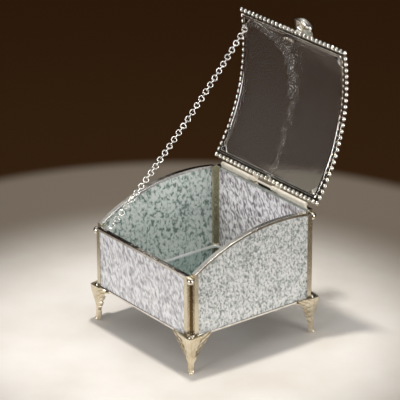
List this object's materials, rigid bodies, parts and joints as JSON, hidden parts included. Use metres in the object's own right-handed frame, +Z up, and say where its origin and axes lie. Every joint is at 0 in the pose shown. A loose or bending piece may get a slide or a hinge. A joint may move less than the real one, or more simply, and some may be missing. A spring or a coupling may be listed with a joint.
{
  "type": "glass casket box",
  "caption": "Small glass casket box with silver plated rails, leaf feet and an arched bead-rimmed lid held open by a chain.",
  "frame": {"origin": "centre of the box's footprint at bench level", "axes": "+Z up, -Y towards the low front panel, +X towards the right side panel"},
  "size_m": [0.1058, 0.136, 0.1889],
  "materials": {
    "silver_rails": "polished silver plate",
    "cast_feet": "satin silver plate",
    "solder": "smooth silver solder",
    "beading": "polished silver plate",
    "hinge_metal": "polished silver plate",
    "knob_metal": "polished silver plate",
    "chain_metal": "polished silver plate",
    "textured_glass": "textured",
    "clear_glass": "clear",
    "mirror_floor": "mirror",
    "base_sheet": "satin"
  },
  "bodies": {
    "box": {"front_glass": "textured_glass", "back_glass": "textured_glass", "left_glass": "textured_glass", "right_glass": "textured_glass", "base_mirror": "mirror_floor", "base_plate": "base_sheet", "front_bottom_rail": "silver_rails", "front_right_upright": "silver_rails", "front_top_rail": "silver_rails", "front_left_upright": "silver_rails", "back_bottom_rail": "silver_rails", "back_right_upright": "silver_rails", "back_top_rail": "silver_rails", "back_left_upright": "silver_rails", "left_bottom_rail": "silver_rails", "left_back_upright": "silver_rails", "left_top_rail": "silver_rails", "left_front_upright": "silver_rails", "right_bottom_rail": "silver_rails", "right_back_upright": "silver_rails", "right_top_rail": "silver_rails", "right_front_upright": "silver_rails", "foot_front_left": "cast_feet", "foot_front_right": "cast_feet", "foot_back_left": "cast_feet", "foot_back_right": "cast_feet", "corner_solder": "solder", "hinge_tube_left": "hinge_metal", "hinge_tube_right": "hinge_metal", "hinge_pin": "hinge_metal", "box_chain_eye": "chain_metal"},
    "lid": {"lid_glass": "clear_glass", "lid_front_rail": "silver_rails", "lid_back_rail": "silver_rails", "lid_left_rail": "silver_rails", "lid_right_rail": "silver_rails", "lid_front_beads": "beading", "lid_back_beads": "beading", "lid_left_beads": "beading", "lid_right_beads": "beading", "lid_knuckles": "hinge_metal", "knob": "knob_metal", "latch_tongue": "silver_rails", "lid_chain_eye": "chain_metal"},
    "chain_01": {"chain_01": "chain_metal"},
    "chain_02": {"chain_02": "chain_metal"},
    "chain_03": {"chain_03": "chain_metal"},
    "chain_04": {"chain_04": "chain_metal"},
    "chain_05": {"chain_05": "chain_metal"},
    "chain_06": {"chain_06": "chain_metal"},
    "chain_07": {"chain_07": "chain_metal"},
    "chain_08": {"chain_08": "chain_metal"},
    "chain_09": {"chain_09": "chain_metal"},
    "chain_10": {"chain_10": "chain_metal"},
    "chain_11": {"chain_11": "chain_metal"},
    "chain_12": {"chain_12": "chain_metal"},
    "chain_13": {"chain_13": "chain_metal"},
    "chain_14": {"chain_14": "chain_metal"},
    "chain_15": {"chain_15": "chain_metal"}
  },
  "joints": [
    {"name": "lid_hinge", "type": "hinge", "parent": "box", "child": "lid", "pos_m": [0, 0.0473, 0.0847], "axis": [1, 0, 0], "range_deg": [0, 114]},
    {"name": "chain_01_turn", "type": "hinge", "parent": "lid", "child": "chain_01", "pos_m": [-0.043, 0.0664, 0.17231], "axis": [1, 0, 0], "range_deg": [-49, 0]},
    {"name": "chain_02_turn", "type": "hinge", "parent": "chain_01", "child": "chain_02", "pos_m": [-0.043, 0.05964, 0.1644], "axis": [1, 0, 0], "range_deg": [0, 15]},
    {"name": "chain_03_turn", "type": "hinge", "parent": "chain_02", "child": "chain_03", "pos_m": [-0.043, 0.0528, 0.15656], "axis": [1, 0, 0], "range_deg": [0, 33]},
    {"name": "chain_04_turn", "type": "hinge", "parent": "chain_03", "child": "chain_04", "pos_m": [-0.043, 0.04589, 0.14879], "axis": [1, 0, 0], "range_deg": [0, 52]},
    {"name": "chain_05_turn", "type": "hinge", "parent": "chain_04", "child": "chain_05", "pos_m": [-0.043, 0.0389, 0.1411], "axis": [1, 0, 0], "range_deg": [0, 67]},
    {"name": "chain_06_turn", "type": "hinge", "parent": "chain_05", "child": "chain_06", "pos_m": [-0.043, 0.03183, 0.13349], "axis": [1, 0, 0], "range_deg": [0, 24]},
    {"name": "chain_07_turn", "type": "hinge", "parent": "chain_06", "child": "chain_07", "pos_m": [-0.043, 0.02469, 0.12595], "axis": [1, 0, 0], "range_deg": [-78, 0]},
    {"name": "chain_08_turn", "type": "hinge", "parent": "chain_07", "child": "chain_08", "pos_m": [-0.043, 0.01747, 0.11848], "axis": [1, 0, 0], "range_deg": [-77, 0]},
    {"name": "chain_09_turn", "type": "hinge", "parent": "chain_08", "child": "chain_09", "pos_m": [-0.043, 0.01018, 0.11109], "axis": [1, 0, 0], "range_deg": [-60, 0]},
    {"name": "chain_10_turn", "type": "hinge", "parent": "chain_09", "child": "chain_10", "pos_m": [-0.043, 0.00281, 0.10377], "axis": [1, 0, 0], "range_deg": [-21, 0]},
    {"name": "chain_11_turn", "type": "hinge", "parent": "chain_10", "child": "chain_11", "pos_m": [-0.043, -0.00464, 0.09653], "axis": [1, 0, 0], "range_deg": [-19, 0]},
    {"name": "chain_12_turn", "type": "hinge", "parent": "chain_11", "child": "chain_12", "pos_m": [-0.043, -0.01216, 0.08937], "axis": [1, 0, 0], "range_deg": [-35, 0]},
    {"name": "chain_13_turn", "type": "hinge", "parent": "chain_12", "child": "chain_13", "pos_m": [-0.043, -0.01975, 0.08228], "axis": [1, 0, 0], "range_deg": [-38, 0]},
    {"name": "chain_14_turn", "type": "hinge", "parent": "chain_13", "child": "chain_14", "pos_m": [-0.043, -0.02743, 0.07526], "axis": [1, 0, 0], "range_deg": [-25, 0]},
    {"name": "chain_15_turn", "type": "hinge", "parent": "chain_14", "child": "chain_15", "pos_m": [-0.043, -0.03518, 0.06832], "axis": [1, 0, 0], "range_deg": [-15, 0]}
  ],
  "couplings": [
    {"joint": "chain_01_turn", "follows": "lid_hinge", "ratio": -0.41228},
    {"joint": "chain_02_turn", "follows": "lid_hinge", "ratio": 0.12281},
    {"joint": "chain_03_turn", "follows": "lid_hinge", "ratio": 0.27193},
    {"joint": "chain_04_turn", "follows": "lid_hinge", "ratio": 0.44737},
    {"joint": "chain_05_turn", "follows": "lid_hinge", "ratio": 0.57895},
    {"joint": "chain_06_turn", "follows": "lid_hinge", "ratio": 0.20175},
    {"joint": "chain_07_turn", "follows": "lid_hinge", "ratio": -0.66667},
    {"joint": "chain_08_turn", "follows": "lid_hinge", "ratio": -0.6579},
    {"joint": "chain_09_turn", "follows": "lid_hinge", "ratio": -0.50877},
    {"joint": "chain_10_turn", "follows": "lid_hinge", "ratio": -0.16667},
    {"joint": "chain_11_turn", "follows": "lid_hinge", "ratio": -0.14912},
    {"joint": "chain_12_turn", "follows": "lid_hinge", "ratio": -0.28947},
    {"joint": "chain_13_turn", "follows": "lid_hinge", "ratio": -0.32456},
    {"joint": "chain_14_turn", "follows": "lid_hinge", "ratio": -0.21053},
    {"joint": "chain_15_turn", "follows": "lid_hinge", "ratio": -0.12281}
  ]
}
